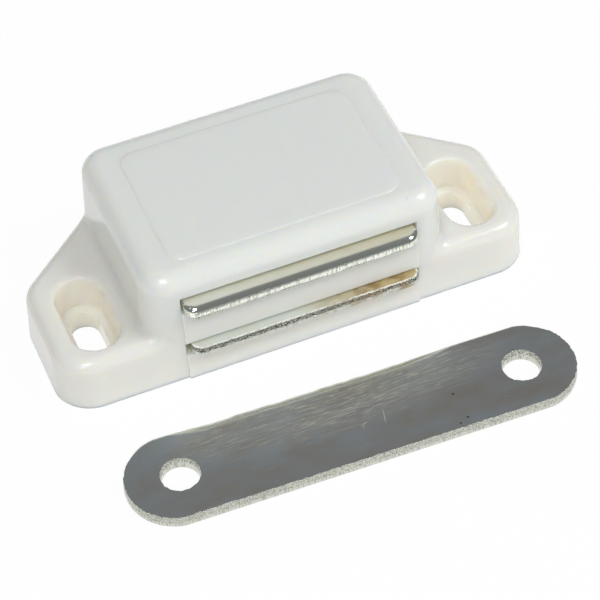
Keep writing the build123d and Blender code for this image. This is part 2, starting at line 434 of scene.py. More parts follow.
@dataclass(frozen=True)
class ZincPlate:
    """Zinc-plated sheet steel with sheared edges.

    A thin chromate film makes the flat faces satin and half matt. Shearing polishes the
    rolled edge, drags the burnished wall into fine upright lines and leaves the torn part
    rough, so each of them mirrors the room differently.
    """

    name: str
    face: str
    stain: str
    rolled: str = "#d4d6d2"
    burnished: str = "#f3f4ec"
    torn: str = "#dcdfcb"
    shade: str = "#8f9a83"
    drag_depth: float = 0.4
    crumb_depth: float = 0.7
    film: float = 0.6
    face_roughness: float = 0.45
    rolled_roughness: float = 0.07
    burnished_roughness: float = 0.14
    torn_roughness: float = 0.22
    bump_height: float = 0.25
    stain_from: float = -8.0
    stain_to: float = 16.0
    stain_depth: float = 0.6
    mottle: float = 0.25
    mottle_size: float = 2.0
    rust: str = "#8a6a3e"
    rust_from: float = 60.0
    rust_fade: float = 9.0
    rust_end: tuple[float, float] = (13.4, 12.2)
    # painted sheen and real scratches: the pale colour of the patch round the middle and of stray scratches
    scratches_and_sheen: str | None = None
    sheen_middle: tuple[float, float] = (0.0, -11.5)
    sheen_reach: tuple[float, float] = (18.0, 4.0)
    # painted highlight: colour of the broken white line just over the rim
    painted_glint: str = "#f6f7f1"
    # each nick in the flat face: x, y, length, width, turn in degrees and colour
    nicks: tuple[tuple[float, float, float, float, float, str], ...] = ()

    def material(self) -> bpy.types.Material:
        """Builds the node material.

        Returns:
            The plated steel.
        """
        material, tree, place = new_material(self.name)
        worked, burnished, torn, painted_glint = (
            add_node(tree, "ShaderNodeAttribute", attribute_name=label).outputs["Fac"]
            for label in ("worked", "burnished", "torn", "painted_glint")
        )

        def blend(
            factor: bpy.types.NodeSocket, first: object, second: object, kind: str = "RGBA"
        ) -> bpy.types.NodeSocket:
            """Mixes two colours or two numbers.

            Args:
                factor: How much of the second there is.
                first: A value, or the socket that gives it.
                second: A value, or the socket that gives it.
                kind: "RGBA" for colours and "FLOAT" for numbers.

            Returns:
                The mixed colour or number.
            """
            slots = (6, 7, 2) if kind == "RGBA" else (2, 3, 0)
            mix = add_node(
                tree, "ShaderNodeMix", {"Factor": factor, slots[0]: first, slots[1]: second}, data_type=kind
            )
            return mix.outputs[slots[2]]

        def maths(operation: str, first: object, second: object) -> bpy.types.NodeSocket:
            """Works out one sum."""
            return add_node(tree, "ShaderNodeMath", {0: first, 1: second}, operation=operation).outputs[0]

        def noise(scale: float, detail: float, stretch: tuple = (1, 1, 1)) -> bpy.types.NodeSocket:
            """Noise across the piece.

            Args:
                scale: Features to the millimetre.
                detail: How many finer layers it has.
                stretch: How many times finer it is along each axis.

            Returns:
                The noise, about 0 to 1.
            """
            drawn = add_node(tree, "ShaderNodeMapping", {"Vector": place, "Scale": stretch})
            made = add_node(
                tree, "ShaderNodeTexNoise", {"Vector": drawn.outputs[0], "Scale": scale, "Detail": detail}
            )
            return made.outputs["Fac"]

        def ramp(
            value: bpy.types.NodeSocket, low: float, high: float, to: float = 1.0
        ) -> bpy.types.NodeSocket:
            """Rises from 0 to a level as the value goes from low to high."""
            scaled = add_node(
                tree, "ShaderNodeMapRange", {"Value": value, "From Min": low, "From Max": high, "To Max": to}
            )
            return scaled.outputs[0]

        along, across, _ = add_node(tree, "ShaderNodeSeparateXYZ", {0: place}).outputs
        # the film is unevenly yellow, more so toward one end
        stained = ramp(along, self.stain_from, self.stain_to, self.stain_depth)
        cloud = noise(1 / self.mottle_size, 4.0, (0.5, 1, 1))
        stained = maths("ADD", stained, ramp(cloud, 0.35, 0.7, self.mottle))
        face = blend(stained, linear(self.face), linear(self.stain))
        if self.scratches_and_sheen:
            # painted sheen: a pale patch round the middle stands in for the brushed finish mirroring the
            # lamps; the short lengthwise scratches in it are real wear
            far_x, far_y = (
                maths("DIVIDE", maths("SUBTRACT", way, middle), reach)
                for way, middle, reach in zip((along, across), self.sheen_middle, self.sheen_reach)
            )
            reach = maths("ADD", maths("MULTIPLY", far_x, far_x), maths("MULTIPLY", far_y, far_y))
            sheen_patch = ramp(reach, 1.4, 0.2)
            streaks = ramp(noise(1.0, 3.0, (0.3, 5.0, 1.0)), 0.3, 0.8, 0.55)
            # the scratches are really finer; they are drawn coarse enough to show
            scratches = ramp(noise(1.0, 1.0, (0.6, 8.5, 1.0)), 0.58, 0.64)
            sheen_patch = maths("MULTIPLY", sheen_patch, maths("MAXIMUM", streaks, scratches))
            face = blend(sheen_patch, face, linear(self.scratches_and_sheen))
            stray = ramp(noise(1.0, 1.0, (0.5, 9.0, 2.0)), 0.72, 0.78, 0.5)
            face = blend(stray, face, linear(self.scratches_and_sheen))
        for nick_x, nick_y, nick_length, nick_width, nick_turn, nick_colour in self.nicks:
            mark = add_node(
                tree,
                "ShaderNodeMapping",
                {
                    "Vector": place,
                    "Location": (nick_x, nick_y, 0),
                    "Rotation": (0, 0, math.radians(nick_turn)),
                    "Scale": (nick_length / 2, nick_width / 2, 100),
                },
                vector_type="TEXTURE",
            )
            off = add_node(tree, "ShaderNodeVectorMath", {0: mark.outputs[0]}, operation="LENGTH")
            face = blend(ramp(off.outputs["Value"], 1.2, 0.6), face, linear(nick_colour))
        steel = blend(worked, face, linear(self.rolled))
        # the drag lines and the torn grain are really finer; they are drawn coarse enough to show
        lines = ramp(noise(1.0, 2.0, (5.0, 5.0, 0.7)), 0.48, 0.62, self.drag_depth)
        steel = blend(burnished, steel, blend(lines, linear(self.burnished), linear(self.shade)))
        crumbs = ramp(noise(5.0, 2.0, (1.3, 1.3, 0.9)), 0.46, 0.58, self.crumb_depth)
        steel = blend(torn, steel, blend(crumbs, linear(self.torn), linear(self.shade)))
        # thin spots of the plating have begun to rust, along one stretch of the plate
        rusting = ramp(along, self.rust_from, self.rust_from + self.rust_fade)
        rusty = maths("MULTIPLY", rusting, ramp(along, *self.rust_end))
        rusty = maths("MULTIPLY", rusty, ramp(noise(1.1, 6.0, (0.6, 1, 1)), 0.4, 0.62, 0.8))
        colour = blend(rusty, steel, linear(self.rust))
        # painted highlight: a broken white line just over the rim, where the burr would catch the light
        painted_sparkle = maths("MULTIPLY", painted_glint, ramp(noise(2.5, 1.0), 0.36, 0.46))
        colour = blend(painted_sparkle, colour, linear(self.painted_glint))
        # film, rust and the painted highlight aren't metal to the eye, and bare worked steel is
        matt = maths("MAXIMUM", maths("SUBTRACT", self.film, worked), maths("MULTIPLY", rusty, 0.7))
        matt = maths("MAXIMUM", matt, painted_sparkle)
        metallic = maths("SUBTRACT", 1.0, matt)
        roughness = blend(worked, self.face_roughness, self.rolled_roughness, "FLOAT")
        roughness = blend(burnished, roughness, self.burnished_roughness, "FLOAT")
        roughness = blend(torn, roughness, self.torn_roughness, "FLOAT")
        # rolling marks on the face, nothing on the roll-over, drag marks below it, then torn grain
        grain = blend(worked, noise(1.0, 4.0, (0.3, 4.0, 1.0)), 0.5, "FLOAT")
        grain = blend(burnished, grain, noise(1.0, 3.0, (5, 5, 0.6)), "FLOAT")
        bump = add_node(
            tree,
            "ShaderNodeBump",
            {
                "Height": blend(torn, grain, noise(3.5, 3.0), "FLOAT"),
                "Strength": blend(torn, 0.12, 1.0, "FLOAT"),
                "Distance": self.bump_height * MM,
            },
        )
        shader = add_node(
            tree,
            "ShaderNodeBsdfPrincipled",
            {"Base Color": colour, "Metallic": metallic, "Roughness": roughness, "Normal": bump.outputs[0]},
        )
        finish_material(tree, shader)
        return material


@dataclass(frozen=True)
class SinteredFerrite:
    """Pressed and sintered ferrite: a dull charcoal ceramic with a fine grain."""

    colour: str = "#2f3032"
    light_grain: str = "#48494b"
    roughness: float = 0.62
    bump_height: float = 0.05

    def material(self) -> bpy.types.Material:
        """Builds the node material.

        Returns:
            The ceramic of the magnet.
        """
        material, tree, place = new_material("sintered_ferrite")
        grain = add_node(tree, "ShaderNodeTexNoise", {"Vector": place, "Scale": 4.0, "Detail": 6.0})
        shade = add_node(
            tree,
            "ShaderNodeMix",
            {"Factor": grain.outputs["Fac"], 6: linear(self.colour), 7: linear(self.light_grain)},
            data_type="RGBA",
        )
        bump = add_node(
            tree,
            "ShaderNodeBump",
            {"Height": grain.outputs["Fac"], "Strength": 0.4, "Distance": self.bump_height * MM},
        )
        shader = add_node(
            tree,
            "ShaderNodeBsdfPrincipled",
            {"Base Color": shade.outputs[2], "Roughness": self.roughness, "Normal": bump.outputs[0]},
        )
        finish_material(tree, shader)
        return material


# ---------------------------------------------------------------- the housing


@dataclass
class Housing:
    """The one-piece white moulding: a box between two screw ears, open at the base."""

    half_length: float = 29.2
    ear_height: float = 6.8
    ear_end_depth: float = 14.9
    ear_front_radius: float = 4.6
    ear_back_radius: float = 4.3
    ear_top_fillet: float = 1.5
    box_half: float = 18.85
    box_depth: float = 26.0
    box_height: float = 15.55
    box_corner_radius: float = 4.0
    box_top_fillet: float = 2.15
    slant_bite: float = 0.05
    foot_fillet: float = 0.9
    foot_growth: float = 1.2
    field_half: float = 14.1
    field_front: float = 3.45
    field_back: float = 21.9
    field_radius: float = 2.0
    field_rise: float = 0.12
    field_root: float = 1.0
    side_wall: float = 2.0
    back_wall: float = 2.0
    mouth_wall: float = 1.8
    cavity_height: float = 13.55
    cavity_radius: float = 2.0
    cavity_roof_fillet: float = 0.4
    panel_proud: float = 0.25
    mouth_half: float = 14.38
    sills: tuple[float, float] = (3.8, 10.3)
    heads: tuple[float, float] = (5.65, 12.6)
    slot_radius: float = 0.2
    slot_depth: float = 2.6
    edge_break: float = 0.12
    slot_edge_break: float = 0.06
    screw_x: float = 23.3
    screw_y: float = 8.2
    recess_length: float = 11.3
    recess_width: float = 5.8
    recess_rim: float = 0.5
    recess_floor: float = 0.35
    ledge: float = 2.6
    slot_length: float = 8.2
    slot_width: float = 3.5
    rib_half_width: float = 0.6
    rib_root: float = 0.4
    roof_rib_x: float = 9.0
    roof_rib_under: float = 12.1
    roof_rib_ends: tuple[float, float] = (3.65, 22.15)
    stop_rib_x: float = 10.0
    stop_rib_face: float = 22.63
    nib_tip: float = 15.2
    nib_top: float = 3.8
    nib_land: float = 0.4
    nib_height: float = 1.8
    nib_reach: tuple[float, float] = (12.0, 18.0)
    sunk_full: float = 0.5
    backed_radius: float = 0.5
    backed_from: float = 2.5
    backed_fade_in: float = 1.5
    backed_fade_out: float = 0.5

    @property
    def inner_half(self) -> float:
        """Half the width of the room inside the box, at its foot."""
        return self.box_half - self.side_wall

    @property
    def cavity_back(self) -> float:
        """How far back the room inside the box reaches, at its foot."""
        return self.box_depth - self.back_wall

    def landing(self) -> tuple[float, float]:
        """Where an ear's slanted back edge meets the box's rounded corner.

        Returns:
            The place's x, counted from the middle, and its y.
        """
        corner = (self.box_half - self.box_corner_radius, self.box_depth - self.box_corner_radius)
        reach = (self.half_length - corner[0], corner[1] - self.ear_end_depth)
        radius = self.box_corner_radius - self.slant_bite
        slant = math.atan2(reach[1], reach[0]) + math.asin(radius / math.hypot(*reach))
        return corner[0] + radius * math.sin(slant), corner[1] + radius * math.cos(slant)

    def outside(self, x: Array, y: Array, z: Array) -> Array:
        """Signed distance to the outer form: ears, box, raised field and mouth panel.

        Args:
            x: Places along X.
            y: Places along Y.
            z: Places along Z.

        Returns:
            The distance at each place, below zero inside.
        """
        land_x, land_y = self.landing()
        ears = convex_outline(
            x,
            y,
            [
                (-self.half_length, 0.0, self.ear_front_radius),
                (self.half_length, 0.0, self.ear_front_radius),
                (self.half_length, self.ear_end_depth, self.ear_back_radius),
                (land_x, land_y, 0.0),
                (-land_x, land_y, 0.0),
                (-self.half_length, self.ear_end_depth, self.ear_back_radius),
            ],
        )
        middle = self.box_depth / 2
        box = rounded_rectangle(x, y - middle, self.box_half, middle, self.box_corner_radius)
        flange = common(ears + DRAFT * z, z - self.ear_height, self.ear_top_fillet)
        tower = common(box + DRAFT * z, z - self.box_height, self.box_top_fillet)
        # the fillet between box and ears runs out to nothing where their outlines meet
        beyond = np.clip(self.foot_growth * (box - ears), 0, self.foot_fillet)
        form = joined(flange, tower, beyond)
        field_middle = (self.field_front + self.field_back) / 2
        field_depth = (self.field_back - self.field_front) / 2
        raised = rounded_rectangle(x, y - field_middle, self.field_half, field_depth, self.field_radius)
        top = self.box_height + self.field_rise
        raised = common(raised + (z - self.box_height), z - top, self.field_rise / 2)
        form = np.minimum(form, np.maximum(raised, self.box_height - self.field_root - z))
        panel = common(np.abs(x) - self.mouth_half, DRAFT * z - self.panel_proud - y, self.edge_break)
        panel = np.maximum(common(panel, z - self.heads[1], self.edge_break), y - self.mouth_wall)
        return np.maximum(np.minimum(form, panel), -z)

    def ribs(self, side: Array, y: Array, z: Array) -> Array:
        """Signed distance to what stands out inside the box: roof ribs, stop ribs and snap nibs.

        Args:
            side: Places along X, counted from the middle to either side.
            y: Places along Y.
            z: Places along Z.

        Returns:
            The distance at each place, below zero inside.
        """
        roof_rib = np.maximum(np.abs(side - self.roof_rib_x) - self.rib_half_width, self.roof_rib_under - z)
        roof_rib = np.maximum(roof_rib, np.maximum(self.roof_rib_ends[0] - y, y - self.roof_rib_ends[1]))
        roof_rib = np.maximum(roof_rib, z - self.cavity_height - self.rib_root)
        stop_rib = np.maximum(np.abs(side - self.stop_rib_x) - self.rib_half_width, self.stop_rib_face - y)
        stop_root = np.maximum(y - self.cavity_back - self.rib_root, z - self.cavity_height)
        stop_rib = np.maximum(stop_rib, stop_root)
        stop_rib = np.maximum(stop_rib, -z)
        # the nib's underside slopes, so that the pack rides over it as it is pressed in
        lead_run = self.nib_tip - self.inner_half
        lead = self.nib_top - self.nib_height - z
        lead = lead + (side - self.inner_half) * (self.nib_height - self.nib_land) / lead_run
        nib = np.maximum(np.maximum(z - self.nib_top, self.nib_tip - side), lead)
        nib = np.maximum(nib, np.maximum(self.nib_reach[0] - y, y - self.nib_reach[1]))
        nib = np.maximum(nib, side - self.inner_half - self.rib_root)
        return np.minimum(np.minimum(roof_rib, stop_rib), nib)

    def solid(self, x: Array, y: Array, z: Array) -> Array:
        """Signed distance to the whole moulding.

        Args:
            x: Places along X.
            y: Places along Y.
            z: Places along Z.

        Returns:
            The distance at each place, below zero inside.
        """
        middle, depth = (self.mouth_wall + self.cavity_back) / 2, (self.cavity_back - self.mouth_wall) / 2
        cavity = rounded_rectangle(x, y - middle, self.inner_half, depth, self.cavity_radius) + DRAFT * z
        cavity = common(cavity, z - self.cavity_height, self.cavity_roof_fillet)
        form = common(self.outside(x, y, z), -cavity, self.edge_break)
        for sill, head in zip(self.sills, self.heads):
            height = (head - sill) / 2
            slot = rounded_rectangle(x, z - sill - height, self.mouth_half, height, self.slot_radius)
            form = common(form, -np.maximum(slot, y - self.slot_depth), self.slot_edge_break)
        side = np.abs(x)
        form = np.minimum(form, self.ribs(side, y, z))
        across, along = side - self.screw_x, y - self.screw_y
        recess = stadium(across, along, self.recess_length, self.recess_width)
        recess = common(recess + DRAFT * (self.ear_height - z), self.ledge - z, self.recess_floor)
        form = common(form, -recess, self.recess_rim)
        through = stadium(across, along, self.slot_length, self.slot_width)
        return common(form, -np.maximum(through, z - self.ear_height), self.edge_break)

    @staticmethod
    def grid() -> tuple[Array, Array, Array]:
        """Grid lines that are close together at ribs, slots, the field's edge and the thin rims.

        Returns:
            Their places along X, Y and Z.
        """
        half = graded(
            (0.0, 0.5), (8.2, 0.2), (10.8, 0.5), (14.0, 0.1), (14.8, 0.4), (20.0, 0.25), (26.6, 0.4),
            (29.8, 0.4),
        )
        across = np.concatenate([-half[:0:-1], half])
        back = graded(
            (-0.5, 0.1), (0.9, 0.2), (1.7, 0.15), (2.7, 0.3), (3.3, 0.08), (3.6, 0.45), (21.75, 0.08),
            (22.05, 0.3), (26.6, 0.3),
        )
        up = graded(
            (-0.3, 0.2), (0.3, 0.4), (3.6, 0.1), (4.0, 0.3), (5.5, 0.1), (5.8, 0.3), (10.1, 0.1),
            (10.5, 0.35), (12.4, 0.1), (12.8, 0.3), (15.4, 0.05), (15.75, 0.2), (16.0, 0.2),
        )
        return across, back, up

    def light_levels(self, corners: Array) -> dict[str, Array]:
        """How far each corner is sunk below the outer form, and how far the plates back it.

        Args:
            corners: Points in millimetres, one row each.

        Returns:
            The levels, 0 to 1, by the name of the attribute that carries them.
        """
        x, y, z = corners.T
        sunk = np.clip(-self.outside(x, y, z) / self.sunk_full, 0, 1)
        from_mouth = common(np.abs(x) - self.mouth_half, y, self.backed_radius)
        mouth = np.clip(1 - from_mouth / self.mouth_wall, 0, 1)
        under_top = np.clip((self.heads[1] + self.mouth_wall - z) / self.backed_fade_out, 0, 1)
        mouth *= under_top * np.clip((z - self.backed_from) / self.backed_fade_in, 0, 1)
        mouth *= (1 - sunk) * (y < self.mouth_wall)
        return {"sunk": sunk, "mouth": mouth}

    def build(self, material: bpy.types.Material) -> bpy.types.Object:
        """Meshes the moulding.

        Args:
            material: The plastic.

        Returns:
            The housing's mesh object.
        """
        corners, faces = skin(self.solid, self.grid())
        low, high = (np.array(corner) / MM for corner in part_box("housing"))
        corners = np.clip(corners, low, high)
        piece = mesh_object("moulded_housing", corners, faces.tolist(), material)
        for label, level in self.light_levels(corners).items():
            shade = piece.data.attributes.new(label, "FLOAT", "POINT")
            shade.data.foreach_set("value", level)
        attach(piece, "catch_housing")
        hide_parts("housing")
        return piece


# ---------------------------------------------------------------- stampings


class Edge(Enum):
    """Which face of a sheet an edge was sheared from."""

    ROLLED_TOP = "rolled over at the top, torn at the bottom"
    ROLLED_BOTTOM = "rolled over at the bottom, torn at the top"


def arc_points(middle: tuple[float, float], radius: float, start: float, end: float, step: float) -> Array:
    """Points along an arc.

    Args:
        middle: The arc's middle.
        radius: Its radius.
        start: The angle that it starts from, in degrees.
        end: The angle that it ends at, in degrees.
        step: About how far apart the points lie.

    Returns:
        The points in order, one row each.
    """
    count = max(2, round(abs(math.radians(end - start)) * radius / step) + 1)
    turn = np.radians(np.linspace(start, end, count))
    return np.stack([middle[0] + radius * np.cos(turn), middle[1] + radius * np.sin(turn)], axis=1)


def line_points(start: tuple[float, float], end: tuple[float, float], step: float) -> Array:
    """Points along a straight run."""
    count = max(2, round(math.dist(start, end) / step) + 1)
    return np.linspace(start, end, count)


def closed_path(runs: Sequence[Array]) -> Array:
    """Joins runs into one closed outline.

    Args:
        runs: Rows of points, each run starting where the one before it ends.

    Returns:
        The outline, with each shared point once.
    """
    points = np.concatenate(runs)
    keep = np.linalg.norm(points - np.roll(points, 1, axis=0), axis=1) > 1e-6
    return points[keep]


def outward(path: Array) -> Array:
    """Normals of an anticlockwise closed path.

    Args:
        path: Points of the path.

    Returns:
        A unit vector at each point, away from the metal.
    """
    before = path - np.roll(path, 1, axis=0)
    after = np.roll(path, -1, axis=0) - path
    along = before / np.linalg.norm(before, axis=1, keepdims=True)
    along = along + after / np.linalg.norm(after, axis=1, keepdims=True)
    along /= np.linalg.norm(along, axis=1, keepdims=True)
    return np.stack([along[:, 1], -along[:, 0]], axis=1)


def ripple(rng: np.random.Generator, count: int, rows: int, grain: float, drag: float) -> Array:
    """Closed band of smooth noise, finer along the edge than through the sheet.

    Args:
        rng: Seeded random source.
        count: Points along the edge.
        rows: Rows through the sheet.
        grain: Smoothing along the edge, in points.
        drag: Smoothing through the sheet, in rows.

    Returns:
        Noise of about -1 to 1, rows by count.
    """
    noise = rng.standard_normal((rows, count))
    waves_along = np.fft.fftfreq(count)
    waves_through = np.fft.fftfreq(rows)
    weight = np.exp(-0.5 * (2 * np.pi * grain * waves_along[None, :]) ** 2)
    weight = weight * np.exp(-0.5 * (2 * np.pi * drag * waves_through[:, None]) ** 2)
    noise = np.fft.ifft2(np.fft.fft2(noise) * weight).real
    return noise / (2 * noise.std())


@dataclass(frozen=True)
class ShearedEdge:
    """Cross-section of a sheared edge: rolled over, burnished, then torn off.

    Depths run through the sheet from the rolled face to the burred one, and insets run from the
    outline into the metal.

    Attributes:
        roll_bend: Radius of the roll-over.
        roll_angle: How far the roll-over turns, in degrees, before the nose.
        nose: Radius of the small bend between the roll-over and the wall.
        upright: Depth of the upright part of the wall.
        burnished: Where the tearing starts, as a share of the thickness.
        wall_lean: How far the burnished part leans in, in degrees.
        lean_back: How much further in the torn part ends than it starts.
        torn_step: How far the torn part starts inside the burnished one.
        roughness: Depth of the torn grain.
        drag_marks: Depth of the drag marks on the wall, as a share of the roughness.
        torn_drag_marks: The same on the torn part.
        smooth_depth: Down to this depth the edge is smooth.
        wander: How far the line where the tearing starts wanders up and down.
        wander_band: How far from that line the rows wander with it.
        margin: Gap between the last rows of the edge.
        painted_glint_width: Width of the flat strip just over the rim that carries a painted highlight, 0
            where there is none.
        bend_rows: Rows in the roll-over.
        tip_rows: Rows in the nose.
        wall_rows: Rows in the burnished part.
        tear_rows: Rows in the torn part.
    """

    roll_bend: float = 0.95
    roll_angle: float = 58.0
    nose: float = 0.06
    upright: float = 0.16
    burnished: float = 0.9
    wall_lean: float = 4.5
    lean_back: float = 0.1
    torn_step: float = 0.02
    roughness: float = 0.035
    drag_marks: float = 0.25
    torn_drag_marks: float = 0.6
    smooth_depth: float = 0.2
    wander: float = 0.09
    wander_band: float = 0.25
    margin: float = 0.02
    painted_glint_width: float = 0.0
    bend_rows: int = 7
    tip_rows: int = 5
    wall_rows: int = 5
    tear_rows: int = 9

    @property
    def over_rim(self) -> list[float]:
        """The last rows, which lie on the flat sheet.

        Returns:
            How far inside the rim each of them lies.
        """
        if self.painted_glint_width == 0:
            return [self.margin]
        return [self.margin, self.margin + self.painted_glint_width, 2 * self.margin + self.painted_glint_width]

    @property
    def roll_end(self) -> float:
        """Depth at which the roll-over reaches the outline."""
        turn = math.radians(self.roll_angle)
        return self.roll_bend * (1 - math.cos(turn)) + self.nose * math.cos(turn) + 1e-6

    def profile(self, thickness: float) -> tuple[Array, Array, list[Array]]:
        """Rows of the cross-section, from the rolled face to the burred one.

        Args:
            thickness: The sheet's thickness.

        Returns:
            How far each row lies inside the outline, its depth, and how worked, how burnished,
            how torn it is and how much painted highlight it carries.
        """
        turn = math.radians(self.roll_angle)
        bend = np.linspace(0, turn, self.bend_rows)
        tip = np.linspace(turn, math.pi / 2, self.tip_rows)[1:]
        ledge = self.nose * (1 - math.sin(turn))
        roll_inset = self.roll_bend * (math.sin(turn) - np.sin(bend)) + ledge
        roll_depth = self.roll_bend * (1 - np.cos(bend))
        tip_inset = self.nose * (1 - np.sin(tip))
        tip_depth = roll_depth[-1] + self.nose * (math.cos(turn) - np.cos(tip))
        upright_end = tip_depth[-1] + self.upright
        burnished_end = self.burnished * thickness
        wall = np.append(upright_end, np.linspace(upright_end, burnished_end, self.wall_rows)[1:])
        wall_inset = (wall - upright_end) * math.tan(math.radians(self.wall_lean))
        tear = np.linspace(burnished_end, thickness, self.tear_rows)[1:]
        slope = (tear - wall[-1]) / (thickness - wall[-1]) * self.lean_back + wall_inset[-1]
        inset = np.concatenate([roll_inset, tip_inset, wall_inset, slope + self.torn_step])
        depth = np.concatenate([roll_depth, tip_depth, wall, tear])
        # the face blends into the roll-over across three rows, and the other zones start within two
        row = np.arange(len(depth))
        worked = np.clip(row / 3, 0, 1)
        dragged = np.clip(row - len(bend) - len(tip) + 1.5, 0, 1)
        torn = np.clip(row - len(bend) - len(tip) - len(wall) + 1.0, 0, 1)
        # the last rows lie flat just over the rim: a strip that carries the painted highlight, where there
        # is one, and plain sheet
        over = self.over_rim
        inset = np.append(inset, inset[-1] + over)
        depth = np.append(depth, [thickness] * len(over))
        shades = [np.append(shade, [0.0] * len(over)) for shade in (worked, dragged, torn)]
        painted_glint = np.zeros(len(depth))
        painted_glint[-len(over):-1] = 1.0
        return inset, depth, [*shades, painted_glint]


@dataclass(frozen=True)
class BurrTrail:
    """Geometry Nodes that lay loose grains of steel along the burred edge of a stamping."""

    grain: float = 0.15
    spacing: float = 0.32
    turns: tuple[float, float, float] = (6.28, 6.28, 6.28)
    smallest: tuple[float, float, float] = (0.5, 0.3, 0.3)
    largest: tuple[float, float, float] = (1.3, 0.8, 0.8)

    def tree(self) -> bpy.types.NodeTree:
        """Builds the node tree.

        Returns:
            The tree, with the grains' size, spacing, seed and material as named inputs.
        """
        tree = bpy.data.node_groups.new("burr_trail", "GeometryNodeTree")
        for name, kind in (
            ("Geometry", "NodeSocketGeometry"),
            ("Grain Size", "NodeSocketFloat"),
            ("Spacing", "NodeSocketFloat"),
            ("Seed", "NodeSocketInt"),
            ("Material", "NodeSocketMaterial"),
        ):
            tree.interface.new_socket(name, in_out="INPUT", socket_type=kind)
        tree.interface.new_socket("Geometry", in_out="OUTPUT", socket_type="NodeSocketGeometry")
        given = add_node(tree, "NodeGroupInput").outputs
        marked = add_node(tree, "GeometryNodeInputNamedAttribute", {"Name": "burr"}, data_type="BOOLEAN")
        edge = add_node(
            tree,
            "GeometryNodeMeshToCurve",
            {"Mesh": given["Geometry"], "Selection": marked.outputs["Attribute"]},
        )
        spots = add_node(
            tree,
            "GeometryNodeResampleCurve",
            {"Curve": edge.outputs[0], "Length": given["Spacing"]},
            mode="LENGTH",
        )
        grain = add_node(
            tree, "GeometryNodeMeshIcoSphere", {"Radius": given["Grain Size"], "Subdivisions": 1}
        )
        turned = add_node(
            tree,
            "FunctionNodeRandomValue",
            {"Max": self.turns, "Seed": given["Seed"]},
            data_type="FLOAT_VECTOR",
        )
        scaled = add_node(
            tree,
            "FunctionNodeRandomValue",
            {"Min": self.smallest, "Max": self.largest, "Seed": given["Seed"]},
            data_type="FLOAT_VECTOR",
        )
        laid = add_node(
            tree,
            "GeometryNodeInstanceOnPoints",
            {
                "Points": spots.outputs[0],
                "Instance": grain.outputs["Mesh"],
                "Rotation": turned.outputs["Value"],
                "Scale": scaled.outputs["Value"],
            },
        )
        real = add_node(tree, "GeometryNodeRealizeInstances", {"Geometry": laid.outputs[0]})
        flat = add_node(
            tree, "GeometryNodeSetShadeSmooth", {"Geometry": real.outputs[0], "Shade Smooth": False}
        )
        both = add_node(tree, "GeometryNodeJoinGeometry", {"Geometry": flat.outputs[0]})
        tree.links.new(given["Geometry"], both.inputs["Geometry"])
        whole = add_node(tree, "GeometryNodeRealizeInstances", {"Geometry": both.outputs[0]})
        dressed = add_node(
            tree, "GeometryNodeSetMaterial", {"Geometry": whole.outputs[0], "Material": given["Material"]}
        )
        add_node(tree, "NodeGroupOutput", {"Geometry": dressed.outputs[0]})
        return tree

    def lay(self, piece: bpy.types.Object, material: bpy.types.Material, seed: int) -> None:
        """Adds the grains to a stamping's own mesh.

        Args:
            piece: The stamping, whose edges under the grains carry the attribute "burr".
            material: The plated steel.
            seed: Seed of the grains' turns and sizes.
        """
        tree = self.tree()
        modifier = piece.modifiers.new("burr_trail", "NODES")
        modifier.node_group = tree
        given = {
            "Grain Size": self.grain * MM,
            "Spacing": self.spacing * MM,
            "Seed": seed,
            "Material": material,
        }
        for item in tree.interface.items_tree:
            if item.in_out == "INPUT" and item.name in given:
                modifier[item.identifier] = given[item.name]
        bpy.context.view_layer.update()
        evaluated = piece.evaluated_get(bpy.context.evaluated_depsgraph_get())
        plain, piece.data = piece.data, bpy.data.meshes.new_from_object(evaluated)
        piece.modifiers.remove(modifier)
        bpy.data.meshes.remove(plain)
        piece.data.materials.clear()
        piece.data.materials.append(material)
        piece.data.polygons.foreach_set("material_index", [0] * len(piece.data.polygons))


